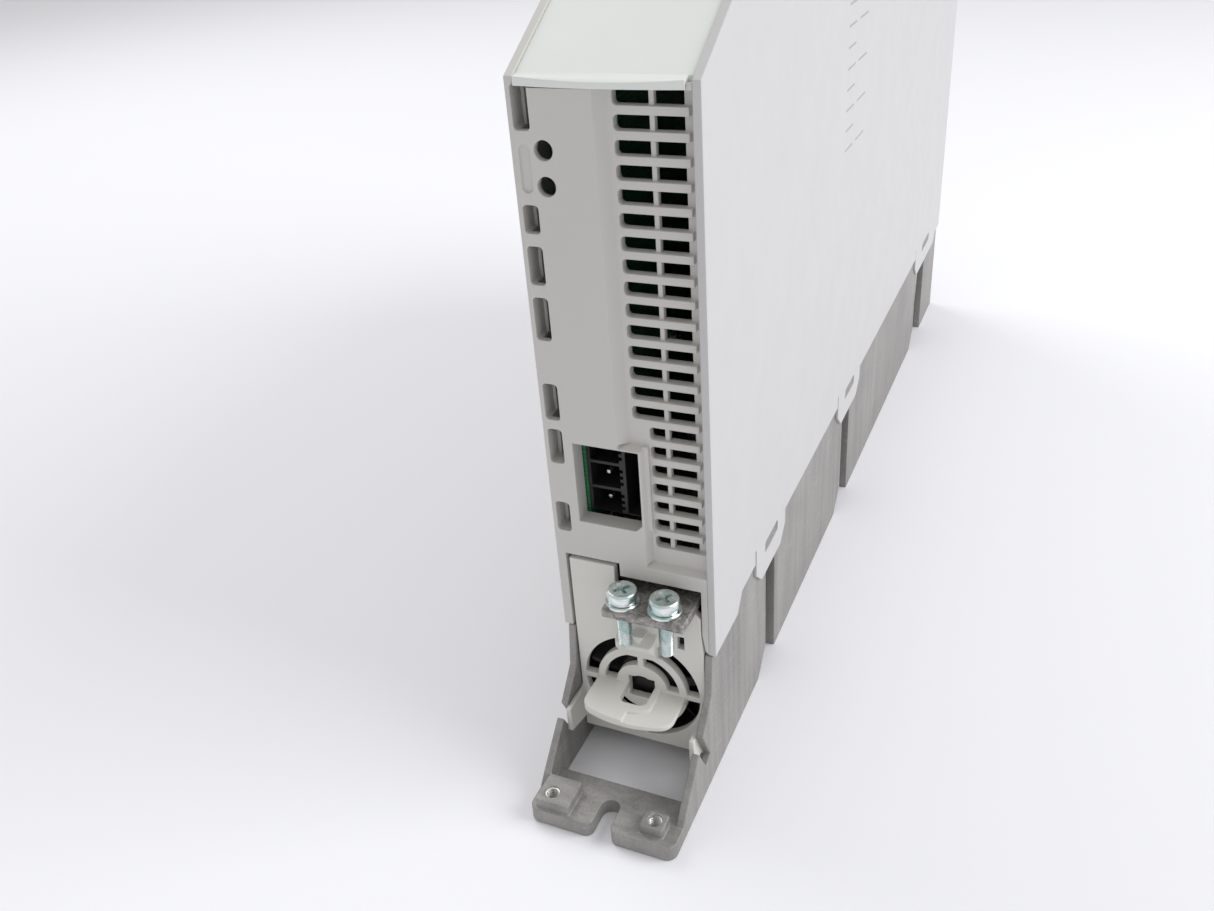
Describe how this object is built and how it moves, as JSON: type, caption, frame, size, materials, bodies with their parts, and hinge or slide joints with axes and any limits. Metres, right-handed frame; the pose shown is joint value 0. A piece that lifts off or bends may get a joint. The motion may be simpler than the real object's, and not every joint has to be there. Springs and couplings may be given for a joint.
{
  "type": "servo drive",
  "caption": "Slim book-format servo drive with finned back, slotted mounting flange, pull-out fan carrier, earth bar with screws, vented end panel and plug headers.",
  "frame": {"origin": "middle of the length and width, on the back plane that seats on the cabinet wall", "axes": "+Z out of the cabinet wall, +Y along the length away from the fan end, X across the width"},
  "size_m": [0.045, 0.401, 0.26],
  "materials": {
    "casting": "raw die casting, matt, slightly dirty",
    "side_plastic": "fine textured light grey plastic",
    "panel_plastic": "fine textured warm grey plastic",
    "front_plastic": "fine textured off-white plastic",
    "carrier_plastic": "matt grey beige plastic",
    "fan_plastic": "black glass filled plastic",
    "bronze": "sintered bronze",
    "winding": "enamelled copper windings",
    "steel": "ground steel",
    "bar_metal": "rough dull plated bar",
    "zinc": "bright zinc plated",
    "board": "green solder resist over glass laminate",
    "thermal": "soft grey thermal sheet",
    "module_plastic": "black moulded module",
    "tin": "tinned contacts",
    "capacitor": "shrink sleeve over aluminium can",
    "relay_plastic": "relay case",
    "ferrite": "coated ring core",
    "header_plastic": "black terminal plastic",
    "header_green": "green terminal plastic",
    "port_shell": "folded port shell",
    "lens": "smoked clear window"
  },
  "bodies": {
    "base": {"heatsink": "casting", "side_cover": "side_plastic", "housing": "panel_plastic", "front_cover": "front_plastic", "fan_carrier": "carrier_plastic", "fan_frame": "fan_plastic", "fan_bearing": "bronze", "fan_stator": "winding", "earth_bar": "bar_metal", "bar_seat_screws": "zinc", "control_board": "board", "board_pillars": "zinc", "board_screws": "zinc", "power_board": "board", "power_board_posts": "zinc", "front_board": "board", "thermal_pad": "thermal", "power_module": "module_plastic", "module_screws": "zinc", "module_pins": "tin", "dc_link_capacitors": "capacitor", "precharge_relay": "relay_plastic", "current_sensors": "module_plastic", "filter_choke": "ferrite", "io_header": "header_plastic", "io_header_pins": "tin", "motor_header": "header_green", "motor_header_blades": "tin", "supply_header": "header_green", "supply_header_blades": "tin", "network_ports": "port_shell", "feedback_port": "header_plastic", "status_display": "module_plastic", "status_lens": "lens"},
    "fan": {"fan_rotor": "fan_plastic", "fan_shaft": "steel"},
    "earth_washers_left": {"earth_flat_washer_left": "zinc", "earth_spring_washer_left": "zinc"},
    "earth_screw_left": {"earth_screw_left": "zinc"},
    "earth_washers_right": {"earth_flat_washer_right": "zinc", "earth_spring_washer_right": "zinc"},
    "earth_screw_right": {"earth_screw_right": "zinc"}
  },
  "joints": [
    {"name": "fan_spin", "type": "hinge", "parent": "base", "child": "fan", "pos_m": [0, -0.1565, 0.0262], "axis": [0, 1, 0], "continuous": true},
    {"name": "earth_rise_left", "type": "slide", "parent": "base", "child": "earth_washers_left", "axis": [0, 0, 1], "range_m": [0, 0.005]},
    {"name": "earth_turn_left", "type": "hinge", "parent": "earth_washers_left", "child": "earth_screw_left", "pos_m": [-0.001, -0.1725, 0.0628], "axis": [0, 0, 1], "range_deg": [0, 2572]},
    {"name": "earth_rise_right", "type": "slide", "parent": "base", "child": "earth_washers_right", "axis": [0, 0, 1], "range_m": [0, 0.005]},
    {"name": "earth_turn_right", "type": "hinge", "parent": "earth_washers_right", "child": "earth_screw_right", "pos_m": [0.0109, -0.1725, 0.0628], "axis": [0, 0, 1], "range_deg": [0, 2572]}
  ],
  "couplings": [
    {"joint": "earth_turn_left", "follows": "earth_rise_left", "rad_per_m": 8976},
    {"joint": "earth_turn_right", "follows": "earth_rise_right", "rad_per_m": 8976}
  ]
}
